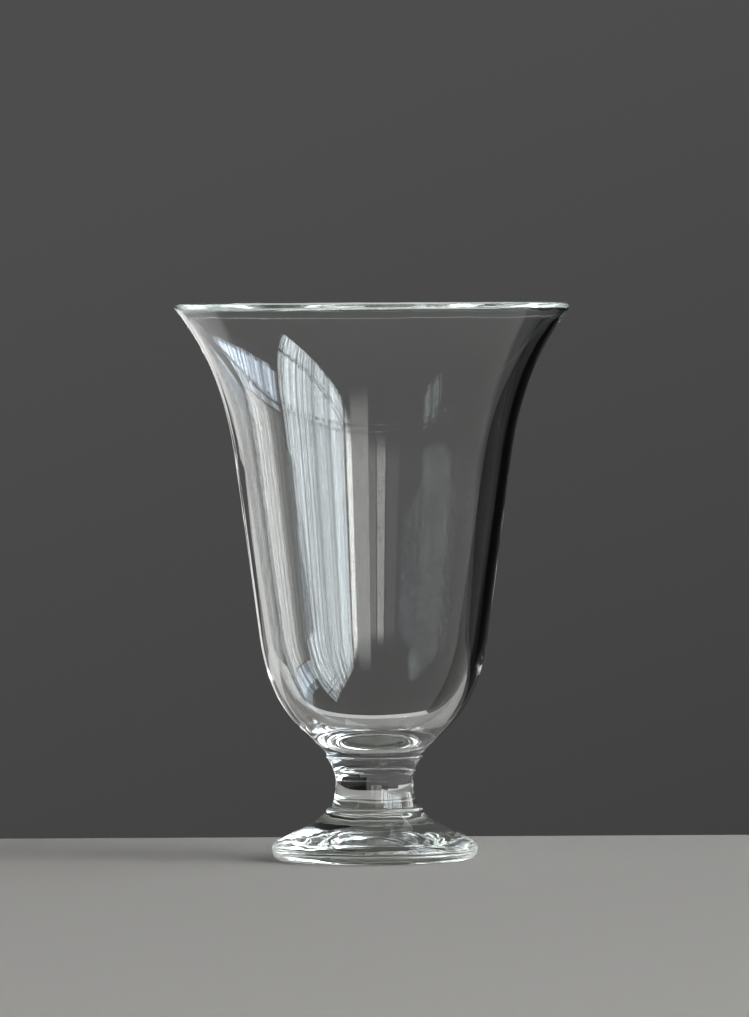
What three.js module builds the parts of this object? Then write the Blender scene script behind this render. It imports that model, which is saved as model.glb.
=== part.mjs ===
// Footed tea glass: a blown bell-shaped bowl on a short spool-shaped stem and a pressed disc foot.
// Each piece is its own gather of clear glass, and the three are fused face to face while hot.
// Millimetres and degrees, +Z up. The origin is the centre of the ring that the glass stands on.
import * as THREE from 'three';

// Stem: a short solid spool, drawn in at the waist, with a thin collar under the bowl
const STEM_WAIST_RADIUS = 8.75;
const STEM_WAIST_HEIGHT = 5.6; // of the narrowest place above the foot
const STEM_HEIGHT = 11.4;
const STEM_END_FLARE = 0.85; // lower end beyond the waist
const STEM_COLLAR_FLARE = 2.15; // collar beyond the waist
const STEM_COLLAR_THICKNESS = 0.5;

// Foot: a thick disc with a fully rounded edge, a sloping brim and a neck that rises to the stem
const FOOT_RADIUS = 23.2;
const FOOT_EDGE_THICKNESS = 4.8;
const FOOT_BRIM_SLOPE = 23.5;
const FOOT_NECK_FLARE = 2.8; // hip, where the brim turns up, beyond the neck
const FOOT_NECK_RISE = 2.8;
const FOOT_SHOULDER_WIDTH = 1.1; // rounding from the neck in to the seat
const FOOT_SHOULDER_RISE = 1.1;
const FOOT_SEAT_MARGIN = 0.2; // seat beyond the end of the stem
const FOOT_RING_WIDTH = 3.8; // flat ring that touches the table
const FOOT_HOLLOW_DEPTH = 1.6; // shallow dome inside the ring

// Bowl: a round base, a long wall that widens slowly, and a flare that turns out to the lip
const BOWL_COLLAR_MARGIN = 0.4; // stem's collar beyond the end of the bowl
const BOWL_BASE_ANGLE = 38; // from upright, where the base leaves the stem
const BOWL_BELLY_RADIUS = 25.7;
const BOWL_BELLY_HEIGHT = 27; // of the round base
const BOWL_WALL_RADIUS = 30.9; // at the top of the wall
const BOWL_WALL_HEIGHT = 38.6;
const BOWL_LIP_RADIUS = 44.3;
const BOWL_FLARE_HEIGHT = 36;
const BOWL_LIP_ANGLE = 35; // from upright, where the flare meets the lip

// Glass thickness of the bowl, from its heavy bottom to the fire-polished lip
const BOTTOM_THICKNESS = 3.5;
const BELLY_THICKNESS = 2.6;
const WALL_THICKNESS = 2.2;
const LIP_THICKNESS = 1.6;

// Fullness of the bowl's curves: the length of each end's pull, as a share of the curve's height
const BASE_PULLS = [0.27, 0.7];
const FLARE_PULLS = [0.54, 0.26];
const INNER_BASE_PULLS = [0.52, 0.67];
const HIP_PULL = 0.85; // of the foot's hip on its brim and on its neck

// Facets: how many sides go round each piece, and how many steps follow each kind of curve
const SIDES = 64;
const BOWL_STEPS = 12;
const WALL_STEPS = 3;
const ROUND_STEPS = 8;
const SPOOL_STEPS = 6;
const STRAIGHT = 1;

// Profiles are drawn as points of radius and height, and directions lean out from upright
const at = (radius, height) => new THREE.Vector2(radius, height);
const lean = (degrees) => {
  const angle = THREE.MathUtils.degToRad(degrees);
  return at(Math.sin(angle), Math.cos(angle));
};
const along = (start, end) => end.clone().sub(start).normalize();
const line = (start, end) => new THREE.LineCurve(start, end);
const bend = (start, corner, end) => new THREE.QuadraticBezierCurve(start, corner, end);

// A curve that leaves its start and reaches its end along two directions, each with its own pull
function fair(start, leaving, leavingPull, end, arriving, arrivingPull) {
  const first = start.clone().addScaledVector(leaving, leavingPull);
  const second = end.clone().addScaledVector(arriving, -arrivingPull);
  return new THREE.CubicBezierCurve(start, first, second, end);
}

// Joins curves, each followed in its own number of steps, into one outline without repeated points
function outline(...curves) {
  const points = [];
  for (const [curve, steps] of curves) {
    const traced = curve.getPoints(steps);
    points.push(...(points.length ? traced.slice(1) : traced));
  }
  return points;
}

// Turns an outline about the upright axis into a named piece of clear glass
function turned(name, points, colour) {
  const geometry = new THREE.LatheGeometry(points, SIDES);
  geometry.rotateX(Math.PI / 2);
  const material = new THREE.MeshStandardMaterial({
    color: colour,
    roughness: 0.03,
    metalness: 0,
    transparent: true,
    opacity: 0.35,
  });
  const piece = new THREE.Mesh(geometry, material);
  piece.name = name;
  return piece;
}

// Sizes that the pieces share
const stemEndRadius = STEM_WAIST_RADIUS + STEM_END_FLARE;
const collarRadius = STEM_WAIST_RADIUS + STEM_COLLAR_FLARE;
const seatRadius = stemEndRadius + FOOT_SEAT_MARGIN;
const bowlEndRadius = collarRadius - BOWL_COLLAR_MARGIN;

// Foot
const edgeRadius = FOOT_EDGE_THICKNESS / 2;
const brimSlope = THREE.MathUtils.degToRad(FOOT_BRIM_SLOPE);
const edgeCentre = at(FOOT_RADIUS - edgeRadius, edgeRadius);
const brimStart = edgeCentre.clone().addScaledVector(lean(FOOT_BRIM_SLOPE), edgeRadius);
const neckRadius = seatRadius + FOOT_SHOULDER_WIDTH;
const hipRadius = neckRadius + FOOT_NECK_FLARE;
const hip = at(hipRadius, brimStart.y + (brimStart.x - hipRadius) * Math.tan(brimSlope));
const neck = at(neckRadius, hip.y + FOOT_NECK_RISE);
const footHeight = neck.y + FOOT_SHOULDER_RISE;

function makeFoot() {
  const hollowTop = at(0, FOOT_HOLLOW_DEPTH);
  const ringOutside = at(edgeCentre.x, 0);
  const ringInside = at(edgeCentre.x - FOOT_RING_WIDTH, 0);
  const hollowCorner = at(ringInside.x / 2, FOOT_HOLLOW_DEPTH);
  const edge = new THREE.EllipseCurve(
    edgeCentre.x, edgeCentre.y, edgeRadius, edgeRadius, -Math.PI / 2, Math.PI / 2 - brimSlope,
  );
  const toHip = brimStart.clone().lerp(hip, HIP_PULL);
  const fromHip = neck.clone().lerp(hip, HIP_PULL);
  const seatEdge = at(seatRadius, footHeight);
  const points = outline(
    [bend(hollowTop, hollowCorner, ringInside), SPOOL_STEPS],
    [line(ringInside, ringOutside), STRAIGHT],
    [edge, ROUND_STEPS],
    [new THREE.CubicBezierCurve(brimStart, toHip, fromHip, neck), ROUND_STEPS],
    [bend(neck, at(neckRadius, footHeight), seatEdge), SPOOL_STEPS],
    [line(seatEdge, at(0, footHeight)), STRAIGHT],
  );
  return turned('foot', points, 0xdfe9e2);
}

// Stem
function makeStem() {
  const lowerEnd = at(stemEndRadius, 0);
  const waist = at(STEM_WAIST_RADIUS, STEM_WAIST_HEIGHT);
  const underCollar = at(collarRadius, STEM_HEIGHT - STEM_COLLAR_THICKNESS);
  const collarTop = at(collarRadius, STEM_HEIGHT);
  const lowerCorner = at(STEM_WAIST_RADIUS, STEM_WAIST_HEIGHT / 2);
  const upperCorner = at(STEM_WAIST_RADIUS, (waist.y + underCollar.y) / 2);
  const points = outline(
    [line(at(0, 0), lowerEnd), STRAIGHT],
    [bend(lowerEnd, lowerCorner, waist), SPOOL_STEPS],
    [bend(waist, upperCorner, underCollar), SPOOL_STEPS],
    [line(underCollar, collarTop), STRAIGHT],
    [line(collarTop, at(0, STEM_HEIGHT)), STRAIGHT],
  );
  return turned('stem', points, 0xe4ebe6);
}

// Bowl
function makeBowl() {
  const lipRadius = LIP_THICKNESS / 2;
  const wallTop = BOWL_BELLY_HEIGHT + BOWL_WALL_HEIGHT;
  const lipCentre = at(BOWL_LIP_RADIUS - lipRadius, wallTop + BOWL_FLARE_HEIGHT - lipRadius);
  const lipLean = lean(BOWL_LIP_ANGLE);
  const lipOut = at(lipLean.y, -lipLean.x);
  const lipTurn = THREE.MathUtils.degToRad(BOWL_LIP_ANGLE);
  const lip = new THREE.EllipseCurve(
    lipCentre.x, lipCentre.y, lipRadius, lipRadius, -lipTurn, Math.PI - lipTurn,
  );

  const end = at(bowlEndRadius, 0);
  const belly = at(BOWL_BELLY_RADIUS, BOWL_BELLY_HEIGHT);
  const shoulder = at(BOWL_WALL_RADIUS, wallTop);
  const lipOutside = lipCentre.clone().addScaledVector(lipOut, lipRadius);
  const taper = along(belly, shoulder);

  const bottom = at(0, BOTTOM_THICKNESS);
  const innerBelly = at(BOWL_BELLY_RADIUS - BELLY_THICKNESS, BOWL_BELLY_HEIGHT);
  const innerShoulder = at(BOWL_WALL_RADIUS - WALL_THICKNESS, wallTop);
  const lipInside = lipCentre.clone().addScaledVector(lipOut, -lipRadius);
  const innerTaper = along(innerBelly, innerShoulder);

  const pulls = (shares, height) => shares.map((share) => share * height);
  const [basePull, bellyPull] = pulls(BASE_PULLS, BOWL_BELLY_HEIGHT);
  const [shoulderPull, lipPull] = pulls(FLARE_PULLS, BOWL_FLARE_HEIGHT);
  const [bottomPull, innerPull] = pulls(INNER_BASE_PULLS, BOWL_BELLY_HEIGHT - BOTTOM_THICKNESS);
  const baseLean = lean(BOWL_BASE_ANGLE);

  const points = outline(
    [line(at(0, 0), end), STRAIGHT],
    [fair(end, baseLean, basePull, belly, taper, bellyPull), BOWL_STEPS],
    [line(belly, shoulder), WALL_STEPS],
    [fair(shoulder, taper, shoulderPull, lipOutside, lipLean, lipPull), BOWL_STEPS],
    [lip, ROUND_STEPS],
    [fair(lipInside, lipLean, -lipPull, innerShoulder, innerTaper, -shoulderPull), BOWL_STEPS],
    [line(innerShoulder, innerBelly), WALL_STEPS],
    [fair(innerBelly, innerTaper, -innerPull, bottom, at(1, 0), -bottomPull), BOWL_STEPS],
  );
  return turned('bowl', points, 0xe9efec);
}

// The three pieces stand on each other, each on the flat face of the one below
const foot = makeFoot();
const stem = makeStem();
const bowl = makeBowl();
stem.position.z = footHeight;
bowl.position.z = footHeight + STEM_HEIGHT;

const glass = new THREE.Group();
glass.name = 'footed_tea_glass';
glass.add(foot, stem, bowl);

export default glass;
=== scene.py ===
"""Looks of the footed tea glass: three pieces of clear hand-worked glass on a pale table."""

import math

import bpy
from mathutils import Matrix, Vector, geometry, noise


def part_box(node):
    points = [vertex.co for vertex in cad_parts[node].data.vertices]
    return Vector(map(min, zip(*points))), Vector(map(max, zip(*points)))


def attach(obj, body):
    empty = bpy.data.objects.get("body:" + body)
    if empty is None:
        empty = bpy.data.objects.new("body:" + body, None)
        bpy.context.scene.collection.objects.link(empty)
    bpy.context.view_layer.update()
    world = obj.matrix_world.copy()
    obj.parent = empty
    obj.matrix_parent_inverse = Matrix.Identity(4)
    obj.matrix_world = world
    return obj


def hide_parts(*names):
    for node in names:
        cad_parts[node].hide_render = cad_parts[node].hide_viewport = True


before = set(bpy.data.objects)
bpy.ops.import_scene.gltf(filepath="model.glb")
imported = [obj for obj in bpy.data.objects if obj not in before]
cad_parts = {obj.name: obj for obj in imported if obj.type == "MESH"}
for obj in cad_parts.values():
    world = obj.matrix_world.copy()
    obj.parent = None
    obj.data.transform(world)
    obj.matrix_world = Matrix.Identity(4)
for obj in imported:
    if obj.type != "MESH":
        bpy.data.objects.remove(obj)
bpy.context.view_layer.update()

MM = 0.001
QUARTER_TURN = math.pi / 2

# Heights of the joints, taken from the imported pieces
FOOT_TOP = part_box("foot")[1].z
STEM_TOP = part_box("stem")[1].z
RIM_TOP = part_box("bowl")[1].z

# Foot
FOOT_RADIUS = 23.2 * MM
FOOT_EDGE_RADIUS = 2.4 * MM
FOOT_BRIM_SLOPE = math.radians(23.5)
FOOT_NECK_RADIUS = 10.9 * MM
FOOT_HIP_RADIUS = 13.7 * MM
FOOT_SHOULDER_RISE = 1.1 * MM
FOOT_SEAT_RADIUS = 9.8 * MM
FOOT_RING_WIDTH = 3.8 * MM
FOOT_HOLLOW_DEPTH = 1.6 * MM
HIP_PULL = 0.85

# Stem
STEM_END_RADIUS = 9.6 * MM
STEM_WAIST_RADIUS = 8.75 * MM
STEM_WAIST_RISE = 5.6 * MM
STEM_COLLAR_RADIUS = 10.9 * MM
STEM_COLLAR_THICKNESS = 0.5 * MM

# Bowl
BOWL_END_RADIUS = 10.5 * MM
BOWL_BASE_ANGLE = math.radians(38)
BOWL_BELLY_RADIUS = 25.7 * MM
BOWL_BELLY_RISE = 27 * MM
BOWL_WALL_RADIUS = 30.9 * MM
BOWL_WALL_RISE = 38.6 * MM
BOWL_LIP_RADIUS = 44.3 * MM
BOWL_LIP_ANGLE = math.radians(35)
BOTTOM_THICKNESS = 3.5 * MM
BELLY_THICKNESS = 2.6 * MM
WALL_THICKNESS = 2.2 * MM
LIP_THICKNESS = 1.6 * MM
BASE_PULLS = (0.27, 0.7)
FLARE_PULLS = (0.54, 0.26)
INNER_BASE_PULLS = (0.52, 0.67)

# Fineness of the turned meshes
SIDES = 256
CURVE_STEPS = 48
WALL_STEPS = 40
ROUND_STEPS = 20
CAP_STEPS = 6
ON_AXIS = 1e-7
SHARP_EDGE = math.radians(35)

# Places of a piece's two materials in its mesh
GLASS, JOINT = range(2)


# Outlines, as points of radius and height
def at(radius, height):
    return Vector((radius, height))


def lean(angle):
    """A direction that leans out from upright by an angle."""
    return at(math.sin(angle), math.cos(angle))


def straight(start, end, steps):
    return [start.lerp(end, i / steps) for i in range(steps + 1)]


def curve(start, first, second, end, steps):
    return geometry.interpolate_bezier(start, first, second, end, steps + 1)


def bend(start, corner, end, steps):
    """A curve that leaves along one side of a corner and arrives along the other."""
    return curve(start, start.lerp(corner, 2 / 3), end.lerp(corner, 2 / 3), end, steps)


def arc(centre, radius, first, last, steps):
    turns = [first + (last - first) * i / steps for i in range(steps + 1)]
    return [centre + radius * at(math.cos(a), math.sin(a)) for a in turns]


def foot_outline():
    centre = at(FOOT_RADIUS - FOOT_EDGE_RADIUS, FOOT_EDGE_RADIUS)
    brim = centre + FOOT_EDGE_RADIUS * lean(FOOT_BRIM_SLOPE)
    rise = (brim.x - FOOT_HIP_RADIUS) * math.tan(FOOT_BRIM_SLOPE)
    hip = at(FOOT_HIP_RADIUS, brim.y + rise)
    neck = at(FOOT_NECK_RADIUS, FOOT_TOP - FOOT_SHOULDER_RISE)
    seat_edge = at(FOOT_SEAT_RADIUS, FOOT_TOP)
    stem_edge = at(STEM_END_RADIUS, FOOT_TOP)
    ring_in = at(centre.x - FOOT_RING_WIDTH, 0)
    hollow = at(0, FOOT_HOLLOW_DEPTH)
    hollow_corner = at(ring_in.x / 2, FOOT_HOLLOW_DEPTH)
    edge_end = QUARTER_TURN - FOOT_BRIM_SLOPE
    to_hip = brim.lerp(hip, HIP_PULL)
    from_hip = neck.lerp(hip, HIP_PULL)
    return [
        (bend(hollow, hollow_corner, ring_in, CURVE_STEPS), GLASS),
        (straight(ring_in, at(centre.x, 0), CAP_STEPS), GLASS),
        (arc(centre, FOOT_EDGE_RADIUS, -QUARTER_TURN, edge_end, CURVE_STEPS), GLASS),
        (curve(brim, to_hip, from_hip, neck, CURVE_STEPS), GLASS),
        (bend(neck, at(neck.x, FOOT_TOP), seat_edge, ROUND_STEPS), GLASS),
        (straight(seat_edge, stem_edge, 1), GLASS),
        (straight(stem_edge, at(0, FOOT_TOP), CAP_STEPS), JOINT),
    ]


def stem_outline():
    end = at(STEM_END_RADIUS, FOOT_TOP)
    waist = at(STEM_WAIST_RADIUS, FOOT_TOP + STEM_WAIST_RISE)
    round_off = STEM_COLLAR_THICKNESS / 2
    collar = at(STEM_COLLAR_RADIUS - round_off, STEM_TOP - round_off)
    under = collar - at(0, round_off)
    bowl_edge = at(BOWL_END_RADIUS, STEM_TOP)
    lower_corner = at(waist.x, (end.y + waist.y) / 2)
    upper_corner = at(waist.x, (waist.y + under.y) / 2)
    return [
        (straight(at(0, FOOT_TOP), end, CAP_STEPS), JOINT),
        (bend(end, lower_corner, waist, CURVE_STEPS), GLASS),
        (bend(waist, upper_corner, under, CURVE_STEPS), GLASS),
        (arc(collar, round_off, -QUARTER_TURN, QUARTER_TURN, ROUND_STEPS), GLASS),
        (straight(collar + at(0, round_off), bowl_edge, 1), GLASS),
        (straight(bowl_edge, at(0, STEM_TOP), CAP_STEPS), JOINT),
    ]


def bowl_outline():
    lip_round = LIP_THICKNESS / 2
    lip = at(BOWL_LIP_RADIUS - lip_round, RIM_TOP - lip_round)
    lip_lean = lean(BOWL_LIP_ANGLE)
    lip_out = at(lip_lean.y, -lip_lean.x)
    lip_end = math.pi - BOWL_LIP_ANGLE

    end = at(BOWL_END_RADIUS, STEM_TOP)
    belly = at(BOWL_BELLY_RADIUS, STEM_TOP + BOWL_BELLY_RISE)
    shoulder = at(BOWL_WALL_RADIUS, belly.y + BOWL_WALL_RISE)
    outside = lip + lip_round * lip_out
    taper = (shoulder - belly).normalized()

    bottom = at(0, STEM_TOP + BOTTOM_THICKNESS)
    inner_belly = belly - at(BELLY_THICKNESS, 0)
    inner_shoulder = shoulder - at(WALL_THICKNESS, 0)
    inside = lip - lip_round * lip_out
    inner_taper = (inner_shoulder - inner_belly).normalized()

    flare = RIM_TOP - shoulder.y
    inner_rise = BOWL_BELLY_RISE - BOTTOM_THICKNESS
    base_pull, belly_pull = (pull * BOWL_BELLY_RISE for pull in BASE_PULLS)
    shoulder_pull, lip_pull = (pull * flare for pull in FLARE_PULLS)
    bottom_pull, inner_pull = (pull * inner_rise for pull in INNER_BASE_PULLS)

    leave_end = end + base_pull * lean(BOWL_BASE_ANGLE)
    reach_belly = belly - belly_pull * taper
    leave_shoulder = shoulder + shoulder_pull * taper
    reach_lip = outside - lip_pull * lip_lean
    leave_lip = inside - lip_pull * lip_lean
    reach_shoulder = inner_shoulder + shoulder_pull * inner_taper
    leave_belly = inner_belly - inner_pull * inner_taper
    reach_bottom = bottom + at(bottom_pull, 0)
    return [
        (straight(at(0, STEM_TOP), end, CAP_STEPS), JOINT),
        (curve(end, leave_end, reach_belly, belly, CURVE_STEPS), GLASS),
        (straight(belly, shoulder, WALL_STEPS), GLASS),
        (curve(shoulder, leave_shoulder, reach_lip, outside, CURVE_STEPS), GLASS),
        (arc(lip, lip_round, -BOWL_LIP_ANGLE, lip_end, ROUND_STEPS), GLASS),
        (curve(inside, leave_lip, reach_shoulder, inner_shoulder, CURVE_STEPS), GLASS),
        (straight(inner_shoulder, inner_belly, WALL_STEPS), GLASS),
        (curve(inner_belly, leave_belly, reach_bottom, bottom, CURVE_STEPS), GLASS),
    ]


# Unevenness of hand work: how high its waves are, and how closely they follow each other
FOOT_WAVE = 0.11 * MM
FOOT_WAVES = 150
FOOT_FINE_WAVES = 330
STEM_WAVE = 0.09 * MM
STEM_WAVES = 190
WALL_WAVE = 0.02 * MM
WALL_WAVES = 90
WALL_DRAWN_WAVES = 14  # up the wall, where drawing the glass made the waves long
LIP_BEAD = 0.12 * MM  # swelling of the lip when it was polished in the fire
LIP_WAVE = 0.07 * MM
LIP_WAVES = 120
LIP_FINE_WAVES = 300
FINE_SHARE = 0.5
STEM_SHIFT = Vector((3, 0, 0))
LIP_SHIFT = Vector((0, 7, 0))

# Heights between which the waves come in or die out, so that joints and ring stay true
FOOT_RING = (0.1 * MM, 1.6 * MM)
FOOT_JOINT = (FOOT_TOP - 1.6 * MM, FOOT_TOP - 0.2 * MM)
STEM_LOWER_JOINT = (FOOT_TOP + 0.1 * MM, FOOT_TOP + 2 * MM)
STEM_UPPER_JOINT = (STEM_TOP - 2 * MM, STEM_TOP - 0.4 * MM)
BOWL_JOINT = (STEM_TOP + 0.2 * MM, STEM_TOP + 3 * MM)
LIP_START = (RIM_TOP - 2.6 * MM, RIM_TOP - 1.2 * MM)


def fade(value, low, high):
    """0 below low, 1 above high, and smooth between."""
    share = min(max((value - low) / (high - low), 0.0), 1.0)
    return share * share * (3 - 2 * share)


def foot_unevenness(place):
    below_joint = 1 - fade(place.z, *FOOT_JOINT)
    above_ring = fade(place.z, *FOOT_RING)
    wave = noise.noise(place * FOOT_WAVES) + FINE_SHARE * noise.noise(place * FOOT_FINE_WAVES)
    return FOOT_WAVE * below_joint * above_ring * wave


def stem_unevenness(place):
    above_joint = fade(place.z, *STEM_LOWER_JOINT)
    below_joint = 1 - fade(place.z, *STEM_UPPER_JOINT)
    wave = noise.noise(place * STEM_WAVES + STEM_SHIFT)
    return STEM_WAVE * above_joint * below_joint * wave


def bowl_unevenness(place):
    above_joint = fade(place.z, *BOWL_JOINT)
    on_lip = fade(place.z, *LIP_START)
    drawn = noise.noise(
        Vector((place.x * WALL_WAVES, place.y * WALL_WAVES, place.z * WALL_DRAWN_WAVES))
    )
    fine = FINE_SHARE * noise.noise(place * LIP_FINE_WAVES)
    polished = noise.noise(place * LIP_WAVES + LIP_SHIFT) + fine
    return above_joint * (WALL_WAVE * drawn + on_lip * (LIP_BEAD + LIP_WAVE * polished))


# Meshes
def add_object(name, vertices, faces, materials):
    mesh = bpy.data.meshes.new(name)
    mesh.from_pydata(vertices, [], faces)
    for material in materials:
        mesh.materials.append(material)
    thing = bpy.data.objects.new(name, mesh)
    bpy.context.scene.collection.objects.link(thing)
    return thing


def joined(stretches):
    """One outline from stretches that meet, and the finish of each of its steps."""
    outline, finishes = [], []
    for points, finish in stretches:
        outline += points[1:] if outline else points
        finishes += [finish] * (len(points) - 1)
    return [at(max(p.x, 0.0), p.y) for p in outline], finishes


def uneven_rings(outline, unevenness):
    """The points of every ring of a turned piece, moved in or out by its unevenness."""
    vertices, rings = [], []
    for i, point in enumerate(outline):
        before = outline[max(i - 1, 0)]
        after = outline[min(i + 1, len(outline) - 1)]
        along = (after - before).normalized()
        outward = at(along.y, -along.x)
        count = SIDES if point.x > ON_AXIS else 1
        rings.append(range(len(vertices), len(vertices) + count))
        for k in range(count):
            a = math.tau * k / SIDES
            place = Vector((point.x * math.cos(a), point.x * math.sin(a), point.y))
            moved = point + unevenness(place) * outward if count > 1 else point
            vertices.append((moved.x * math.cos(a), moved.x * math.sin(a), moved.y))
    return vertices, rings


def ring_faces(lower, upper):
    """Faces between two rings, of which one may be a single point on the axis."""
    faces = []
    for k in range(SIDES):
        after = (k + 1) % SIDES
        if len(lower) == 1:
            face = (lower[0], upper[after], upper[k])
        elif len(upper) == 1:
            face = (lower[k], lower[after], upper[0])
        else:
            face = (lower[k], lower[after], upper[after], upper[k])
        faces.append(face)
    return faces


def turn(name, stretches, unevenness, materials):
    """Turns an outline about the upright axis into a closed piece."""
    outline, finishes = joined(stretches)
    vertices, rings = uneven_rings(outline, unevenness)
    faces, face_finishes = [], []
    for lower, upper, finish in zip(rings, rings[1:], finishes):
        faces += ring_faces(lower, upper)
        face_finishes += [finish] * SIDES
    piece = add_object(name, vertices, faces, materials)
    polygons = piece.data.polygons
    polygons.foreach_set("material_index", face_finishes)
    polygons.foreach_set("use_smooth", [True] * len(faces))
    piece.data.set_sharp_from_angle(angle=SHARP_EDGE)
    return piece


def box_mesh(name, low, high, material):
    corners = [
        (x, y, z)
        for z in (low[2], high[2])
        for y in (low[1], high[1])
        for x in (low[0], high[0])
    ]
    faces = [(0, 2, 3, 1), (4, 5, 7, 6), (0, 1, 5, 4), (2, 6, 7, 3), (0, 4, 6, 2), (1, 3, 7, 5)]
    return add_object(name, corners, faces, [material])


# Glass
GLASS_IOR = 1.52
SMEAR_SCALE = 45.0
SMEAR_DETAIL = 3.0
RIPPLE_DETAIL = 1.0
LIP_TINT = (0.925, 0.995, 0.945, 1)
LIP_TINT_START = RIM_TOP - 2.4 * MM
LIP_TINT_FULL = RIM_TOP - 1.4 * MM


def hand_worked_surface():
    """Node group: the faint tint, haze and ripple that hand-worked glass has all over."""
    group = bpy.data.node_groups.new("hand_worked_surface", "ShaderNodeTree")
    face = group.interface
    face.new_socket("Clear", in_out="INPUT", socket_type="NodeSocketColor")
    face.new_socket("Tinted", in_out="INPUT", socket_type="NodeSocketColor")
    face.new_socket("Ripple Scale", in_out="INPUT", socket_type="NodeSocketFloat")
    face.new_socket("Haze", in_out="INPUT", socket_type="NodeSocketFloat")
    face.new_socket("Color", in_out="OUTPUT", socket_type="NodeSocketColor")
    face.new_socket("Roughness", in_out="OUTPUT", socket_type="NodeSocketFloat")
    face.new_socket("Height", in_out="OUTPUT", socket_type="NodeSocketFloat")
    nodes, links = group.nodes, group.links
    given = nodes.new("NodeGroupInput")
    out = nodes.new("NodeGroupOutput")
    place = nodes.new("ShaderNodeTexCoord")
    ripple = nodes.new("ShaderNodeTexNoise")
    ripple.inputs["Detail"].default_value = RIPPLE_DETAIL
    links.new(place.outputs["Object"], ripple.inputs["Vector"])
    links.new(given.outputs["Ripple Scale"], ripple.inputs["Scale"])
    smear = nodes.new("ShaderNodeTexNoise")
    smear.inputs["Scale"].default_value = SMEAR_SCALE
    smear.inputs["Detail"].default_value = SMEAR_DETAIL
    links.new(place.outputs["Object"], smear.inputs["Vector"])
    tint = nodes.new("ShaderNodeMix")
    tint.data_type = "RGBA"
    links.new(smear.outputs["Fac"], tint.inputs["Factor"])
    links.new(given.outputs["Clear"], tint.inputs["A"])
    links.new(given.outputs["Tinted"], tint.inputs["B"])
    haze = nodes.new("ShaderNodeMath")
    haze.operation = "MULTIPLY"
    links.new(smear.outputs["Fac"], haze.inputs[0])
    links.new(given.outputs["Haze"], haze.inputs[1])
    links.new(tint.outputs["Result"], out.inputs["Color"])
    links.new(haze.outputs["Value"], out.inputs["Roughness"])
    links.new(ripple.outputs["Fac"], out.inputs["Height"])
    return group


def clear_glass(name, surface, clear, tinted, ripple_scale, ripple_height, haze):
    material = bpy.data.materials.new(name)
    material.use_nodes = True
    nodes, links = material.node_tree.nodes, material.node_tree.links
    shader = nodes["Principled BSDF"]
    shader.inputs["Transmission Weight"].default_value = 1.0
    shader.inputs["IOR"].default_value = GLASS_IOR
    worked = nodes.new("ShaderNodeGroup")
    worked.node_tree = surface
    worked.inputs["Clear"].default_value = clear
    worked.inputs["Tinted"].default_value = tinted
    worked.inputs["Ripple Scale"].default_value = ripple_scale
    worked.inputs["Haze"].default_value = haze
    bump = nodes.new("ShaderNodeBump")
    bump.inputs["Strength"].default_value = 1.0
    bump.inputs["Distance"].default_value = ripple_height
    links.new(worked.outputs["Color"], shader.inputs["Base Color"])
    links.new(worked.outputs["Roughness"], shader.inputs["Roughness"])
    links.new(worked.outputs["Height"], bump.inputs["Height"])
    links.new(bump.outputs["Normal"], shader.inputs["Normal"])
    return material


def tint_lip(material):
    """The lip is seen along the glass and so looks greener than the wall."""
    nodes, links = material.node_tree.nodes, material.node_tree.links
    shader = nodes["Principled BSDF"]
    wall_colour = shader.inputs["Base Color"].links[0].from_socket
    place = nodes.new("ShaderNodeTexCoord")
    parts = nodes.new("ShaderNodeSeparateXYZ")
    rise = nodes.new("ShaderNodeMapRange")
    rise.inputs["From Min"].default_value = LIP_TINT_START
    rise.inputs["From Max"].default_value = LIP_TINT_FULL
    tint = nodes.new("ShaderNodeMix")
    tint.data_type = "RGBA"
    tint.inputs["B"].default_value = LIP_TINT
    links.new(place.outputs["Object"], parts.inputs["Vector"])
    links.new(parts.outputs["Z"], rise.inputs["Value"])
    links.new(rise.outputs["Result"], tint.inputs["Factor"])
    links.new(wall_colour, tint.inputs["A"])
    links.new(tint.outputs["Result"], shader.inputs["Base Color"])


def bowl_glass(surface):
    """Thin blown glass with hardly any tint, apart from its lip."""
    material = clear_glass(
        "bowl_glass",
        surface,
        clear=(0.995, 1.0, 0.997, 1),
        tinted=(0.985, 0.995, 0.99, 1),
        ripple_scale=70.0,
        ripple_height=0.005 * MM,
        haze=0.02,
    )
    tint_lip(material)
    return material


def stem_glass(surface):
    """Solid glass, a little greener because it is thick."""
    return clear_glass(
        "stem_glass",
        surface,
        clear=(0.98, 0.995, 0.985, 1),
        tinted=(0.965, 0.985, 0.97, 1),
        ripple_scale=160.0,
        ripple_height=0.02 * MM,
        haze=0.02,
    )


def foot_glass(surface):
    """Thick pressed glass, the greenest of the three and the most rippled."""
    return clear_glass(
        "foot_glass",
        surface,
        clear=(0.955, 0.985, 0.95, 1),
        tinted=(0.92, 0.965, 0.91, 1),
        ripple_scale=150.0,
        ripple_height=0.03 * MM,
        haze=0.02,
    )


def fused_joint():
    """Where two pieces are fused the glass runs on, so the two faces there show nothing."""
    material = bpy.data.materials.new("fused_joint")
    material.use_nodes = True
    nodes, links = material.node_tree.nodes, material.node_tree.links
    nodes.clear()
    out = nodes.new("ShaderNodeOutputMaterial")
    through = nodes.new("ShaderNodeBsdfTransparent")
    links.new(through.outputs["BSDF"], out.inputs["Surface"])
    return material


# The three pieces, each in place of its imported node
surface = hand_worked_surface()
joint = fused_joint()
pieces = {
    "bowl": turn("blown_bowl", bowl_outline(), bowl_unevenness, [bowl_glass(surface), joint]),
    "stem": turn("drawn_stem", stem_outline(), stem_unevenness, [stem_glass(surface), joint]),
    "foot": turn("pressed_foot", foot_outline(), foot_unevenness, [foot_glass(surface), joint]),
}
for node, piece in pieces.items():
    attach(piece, "root")
    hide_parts(node)


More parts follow.
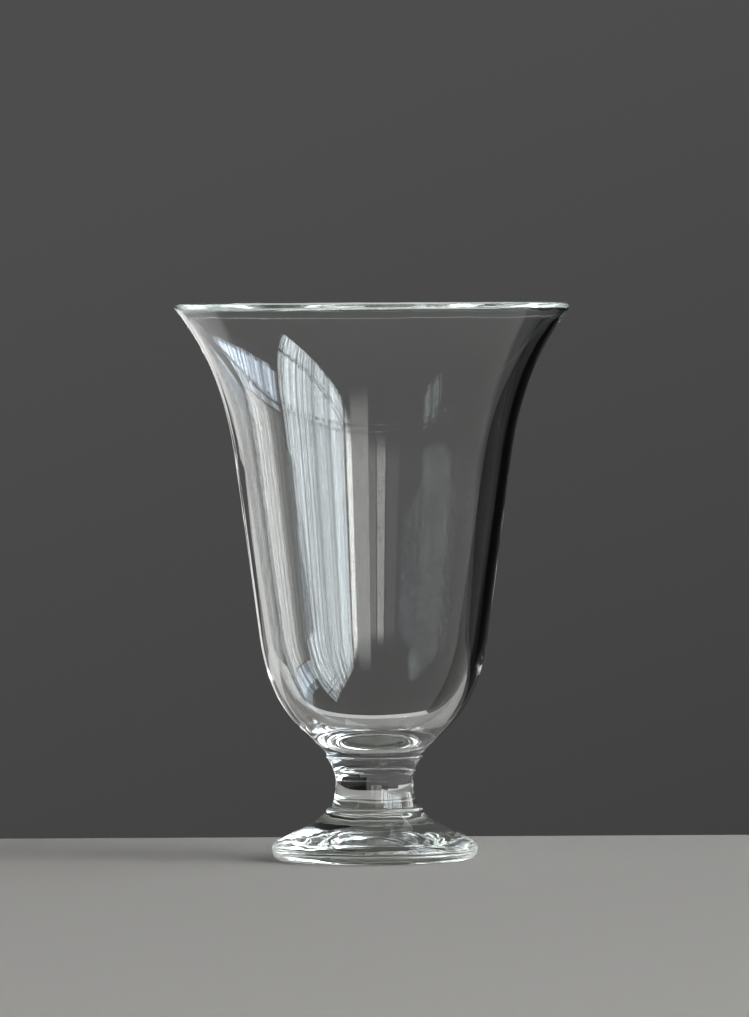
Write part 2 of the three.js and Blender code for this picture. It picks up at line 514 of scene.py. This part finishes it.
# Stage: a pale table whose back edge is close behind the glass, with a pale floor beyond it,
# and two dark screens off to the right, which give the right side of the glass its dark edge
TABLE_TOP = -0.05 * MM  # a hair of air stays under the foot
TABLE_BACK = 88.6 * MM
TABLE_FRONT = -1.9
TABLE_SIDE = 1.5
TABLE_THICKNESS = 30 * MM
TABLE_EDGE_ROUND = 2 * MM
TABLE_EDGE_STEPS = 4
TABLE_COLOUR = (0.42, 0.385, 0.355, 1)
FLOOR_COLOUR = (0.6, 0.6, 0.59, 1)
FLOOR_LOW = -0.74
FLOOR_NEAR = 0.5
FLOOR_FAR = 2.63
FLOOR_LEFT = -2.25
FLOOR_RIGHT = 0.34
SCREENS = ((1.2, 0.34, 1.3), (2.6, 0.38, 0.8))  # distance behind the glass, left and right end
SCREEN_HIGH = 0.5
SCREEN_THICKNESS = 0.02
SCREEN_COLOUR = (0.003, 0.003, 0.003, 1)
MATT_ROUGHNESS = 0.9
MATT_GLOSS = 0.1


def matt(name, colour, gloss):
    material = bpy.data.materials.new(name)
    material.use_nodes = True
    shader = material.node_tree.nodes["Principled BSDF"]
    shader.inputs["Base Color"].default_value = colour
    shader.inputs["Roughness"].default_value = MATT_ROUGHNESS
    shader.inputs["Specular IOR Level"].default_value = gloss
    return material


def pale_floor():
    """A matt floor that shows plain and pale, also through the glass, and gives no light of its own."""
    material = matt("pale_floor", FLOOR_COLOUR, MATT_GLOSS)
    nodes, links = material.node_tree.nodes, material.node_tree.links
    seen = nodes.new("ShaderNodeLightPath")
    glass_ray = nodes.new("ShaderNodeMath")
    glass_ray.operation = "MAXIMUM"
    shown = nodes.new("ShaderNodeMath")
    shown.operation = "MAXIMUM"
    plain = nodes.new("ShaderNodeEmission")
    plain.inputs["Color"].default_value = FLOOR_COLOUR
    mix = nodes.new("ShaderNodeMixShader")
    links.new(seen.outputs["Is Glossy Ray"], glass_ray.inputs[0])
    links.new(seen.outputs["Is Transmission Ray"], glass_ray.inputs[1])
    links.new(seen.outputs["Is Camera Ray"], shown.inputs[0])
    links.new(glass_ray.outputs["Value"], shown.inputs[1])
    links.new(shown.outputs["Value"], mix.inputs["Fac"])
    links.new(nodes["Principled BSDF"].outputs["BSDF"], mix.inputs[1])
    links.new(plain.outputs["Emission"], mix.inputs[2])
    links.new(mix.outputs["Shader"], nodes["Material Output"].inputs["Surface"])
    return material


def panel_mesh(name, corners, material):
    panel = add_object(name, corners, [(0, 1, 2, 3)], [material])
    return panel


def lay_table():
    low = (-TABLE_SIDE, TABLE_FRONT, TABLE_TOP - TABLE_THICKNESS)
    high = (TABLE_SIDE, TABLE_BACK, TABLE_TOP)
    table = box_mesh("table", low, high, matt("pale_table", TABLE_COLOUR, MATT_GLOSS))
    edge = table.modifiers.new("edge", "BEVEL")
    edge.width = TABLE_EDGE_ROUND
    edge.segments = TABLE_EDGE_STEPS


def lay_floor():
    corners = [
        (FLOOR_LEFT, FLOOR_NEAR, FLOOR_LOW),
        (FLOOR_RIGHT, FLOOR_NEAR, FLOOR_LOW),
        (FLOOR_RIGHT, FLOOR_FAR, FLOOR_LOW),
        (FLOOR_LEFT, FLOOR_FAR, FLOOR_LOW),
    ]
    panel_mesh("pale_floor", corners, pale_floor())


def put_up_screens():
    dark = matt("dark_screen", SCREEN_COLOUR, 0.0)
    for number, (away, left, right) in enumerate(SCREENS):
        low = (left, away, FLOOR_LOW)
        high = (right, away + SCREEN_THICKNESS, SCREEN_HIGH)
        screen = box_mesh(f"dark_screen_{number}", low, high, dark)
        screen.visible_camera = False


lay_table()
lay_floor()
put_up_screens()


# Light: curtained windows in the side walls, dimmer ones in the end wall behind the camera, low
# light along the back, and two cards that light the left edges of the flare and the wall.
# Directions are degrees in plan from the camera's side, to the right, and heights are in metres.
COOL = (0.88, 0.96, 1.0, 1)
PLAIN = (1.0, 1.0, 0.98, 1)
BLUE = (0.74, 0.86, 1.0, 1)

# Side walls: first and last direction, sill, top, radiance and tint of each pane
SIDE_AWAY = 2.3
SIDE_PANES = (
    (26, 86, 0.28, 0.48, 2.6, COOL),
    (26, 84, 0.48, 2.12, 8.0, COOL),
    (26, 84, 2.20, 2.88, 7.2, COOL),
    (86, 100, 0.20, 0.88, 0.9, PLAIN),
    (86, 92, 0.92, 1.52, 0.9, PLAIN),
    (100, 149, 0.20, 0.88, 4.5, PLAIN),
    (92, 149, 0.92, 1.52, 6.0, BLUE),
    (-47, -61, 1.25, 1.95, 1.1, COOL),
)

# Bare strip beside the curtain: first and last direction, sill, where it fades and ends, radiance
CURTAIN_GAP = (19.5, 24.5, 0.48, 1.9, 2.9, 11.5)

# End wall: first and last direction, where it fades and ends, and radiance of each pane
END_AWAY = 6.5
END_PANES = (
    (4, 20, 1.6, 4.6, 3.0),
    (-3, 4, 1.45, 2.3, 1.5),
    (-11.5, -4, 1.45, 2.3, 3.5),
    (-24, -13, 1.45, 2.3, 0.5),
)

# Low light along the back: first and last direction, and top of each pane
LOW_AWAY = 2.6
LOW_PANES = ((-112, -152, -0.22), (-152, -166, -0.38))
LOW_RADIANCE = 0.6

# Cards behind the glass: left and right end, lowest and highest place, radiance
CARD_AWAY = 1.5
CARDS = (
    (-0.68, -0.28, -0.28, -0.04, 1.5),
    (-0.44, -0.30, -0.04, 0.10, 0.9),
)

# Folds of the curtains: their spacing, and the shares of light between the folds and on them
FOLD_SCALE = 13.0
FOLD_DETAIL = 2.0
FOLD_ROUGHNESS = 0.7
FOLD_CONTRAST = (0.45, 0.55)
FOLD_LIGHT = (0.35, 1.45)


def light_material(name, radiance, tint):
    """Plain light, whose strength the finish of a pane may still change."""
    material = bpy.data.materials.new(name)
    material.use_nodes = True
    nodes, links = material.node_tree.nodes, material.node_tree.links
    nodes.clear()
    glow = nodes.new("ShaderNodeEmission")
    glow.name = "glow"
    glow.inputs["Color"].default_value = tint
    glow.inputs["Strength"].default_value = radiance
    out = nodes.new("ShaderNodeOutputMaterial")
    links.new(glow.outputs["Emission"], out.inputs["Surface"])
    return material


def map_range(nodes, from_range, to_range):
    node = nodes.new("ShaderNodeMapRange")
    node.inputs["From Min"].default_value, node.inputs["From Max"].default_value = from_range
    node.inputs["To Min"].default_value, node.inputs["To Max"].default_value = to_range
    return node


def curtain(radiance, tint):
    """Light through a curtain, whose folds make soft upright stripes."""
    material = light_material("curtain", radiance, tint)
    nodes, links = material.node_tree.nodes, material.node_tree.links
    place = nodes.new("ShaderNodeTexCoord")
    parts = nodes.new("ShaderNodeSeparateXYZ")
    turned = nodes.new("ShaderNodeMath")
    turned.operation = "ARCTAN2"
    folds = nodes.new("ShaderNodeTexNoise")
    folds.noise_dimensions = "1D"
    folds.inputs["Scale"].default_value = FOLD_SCALE
    folds.inputs["Detail"].default_value = FOLD_DETAIL
    folds.inputs["Roughness"].default_value = FOLD_ROUGHNESS
    strength = map_range(nodes, FOLD_CONTRAST, [share * radiance for share in FOLD_LIGHT])
    links.new(place.outputs["Object"], parts.inputs["Vector"])
    links.new(parts.outputs["Y"], turned.inputs[0])
    links.new(parts.outputs["X"], turned.inputs[1])
    links.new(turned.outputs["Value"], folds.inputs["W"])
    links.new(folds.outputs["Fac"], strength.inputs["Value"])
    links.new(strength.outputs["Result"], nodes["glow"].inputs["Strength"])
    return material


def fading_light(radiance, full, none):
    """Plain light that fades out between two heights."""
    material = light_material("fading_light", radiance, PLAIN)
    nodes, links = material.node_tree.nodes, material.node_tree.links
    place = nodes.new("ShaderNodeTexCoord")
    parts = nodes.new("ShaderNodeSeparateXYZ")
    strength = map_range(nodes, (full, none), (radiance, 0.0))
    links.new(place.outputs["Object"], parts.inputs["Vector"])
    links.new(parts.outputs["Z"], strength.inputs["Value"])
    links.new(strength.outputs["Result"], nodes["glow"].inputs["Strength"])
    return material


def upright_panel(name, start, end, low, high, material):
    """A panel of light between two points of the plan and two heights."""
    corners = [(*start, low), (*end, low), (*end, high), (*start, high)]
    panel = panel_mesh(name, corners, material)
    panel.visible_camera = False
    return panel


def on_side_wall(degrees):
    side = math.copysign(SIDE_AWAY, degrees)
    return side, -SIDE_AWAY / math.tan(math.radians(abs(degrees)))


def on_end_wall(degrees):
    return END_AWAY * math.tan(math.radians(degrees)), -END_AWAY


def on_back_round(degrees):
    angle = math.radians(degrees)
    return LOW_AWAY * math.sin(angle), -LOW_AWAY * math.cos(angle)


def light_side_walls():
    for number, (first, last, sill, top, radiance, tint) in enumerate(SIDE_PANES):
        ends = on_side_wall(first), on_side_wall(last)
        upright_panel(f"side_pane_{number}", *ends, sill, top, curtain(radiance, tint))
    first, last, sill, full, none, radiance = CURTAIN_GAP
    ends = on_side_wall(first), on_side_wall(last)
    upright_panel("curtain_gap", *ends, sill, none, fading_light(radiance, full, none))


def light_end_wall():
    for number, (first, last, full, none, radiance) in enumerate(END_PANES):
        ends = on_end_wall(first), on_end_wall(last)
        upright_panel(f"end_pane_{number}", *ends, 0, none, fading_light(radiance, full, none))


def light_back():
    low_light = light_material("low_light", LOW_RADIANCE, PLAIN)
    for number, (first, last, top) in enumerate(LOW_PANES):
        ends = on_back_round(first), on_back_round(last)
        upright_panel(f"low_pane_{number}", *ends, FLOOR_LOW, top, low_light)
    for number, (left, right, low, high, radiance) in enumerate(CARDS):
        card_light = light_material(f"pale_card_{number}", radiance, PLAIN)
        ends = (left, CARD_AWAY), (right, CARD_AWAY)
        card = upright_panel(f"pale_card_{number}", *ends, low, high, card_light)
        card.visible_transmission = False  # the glass mirrors it but doesn't show it through


light_side_walls()
light_end_wall()
light_back()


# Room: dim grey all round, a little darker towards the floor and the right
ROOM_SLOPE = (-0.09, 0, 0.25)
ROOM_SLOPES = (-0.02, 0.004)
ROOM_LEVELS = (0.05, 0.074)
GLASS_BOUNCES = 256  # light goes to and fro in the thick glass many times


def dim_room():
    world = bpy.data.worlds.new("dim_room")
    world.use_nodes = True
    nodes, links = world.node_tree.nodes, world.node_tree.links
    way = nodes.new("ShaderNodeTexCoord")
    slope = nodes.new("ShaderNodeVectorMath")
    slope.operation = "DOT_PRODUCT"
    slope.inputs[1].default_value = ROOM_SLOPE
    level = map_range(nodes, ROOM_SLOPES, ROOM_LEVELS)
    links.new(way.outputs["Generated"], slope.inputs[0])
    links.new(slope.outputs["Value"], level.inputs["Value"])
    links.new(level.outputs["Result"], nodes["Background"].inputs["Color"])
    return world


scene = bpy.context.scene
scene.world = dim_room()
scene.view_settings.view_transform = "Standard"
scene.cycles.max_bounces = GLASS_BOUNCES
scene.cycles.glossy_bounces = GLASS_BOUNCES
scene.cycles.transmission_bounces = GLASS_BOUNCES


# Camera: a little above the rim, over two metres away
CAMERA_AWAY = 2.2
CAMERA_HEIGHT = 136.5 * MM
CAMERA_ROLL = math.radians(0.3)
CAMERA_REACH = 20
SENSOR_WIDTH = 36
AIM = Vector((0.3 * MM, 0, 79 * MM))
PICTURE_HEIGHT = 228.6 * MM


def place_camera():
    place = Vector((AIM.x, -CAMERA_AWAY, CAMERA_HEIGHT))
    lens = bpy.data.cameras.new("camera")
    lens.sensor_width = SENSOR_WIDTH
    lens.lens = SENSOR_WIDTH * (place - AIM).length / PICTURE_HEIGHT
    lens.clip_end = CAMERA_REACH
    camera = bpy.data.objects.new("camera", lens)
    camera.location = place
    camera.rotation_euler = (AIM - place).to_track_quat("-Z", "Y").to_euler()
    camera.rotation_euler.rotate_axis("Z", -CAMERA_ROLL)
    scene.collection.objects.link(camera)
    return camera


scene.camera = place_camera()
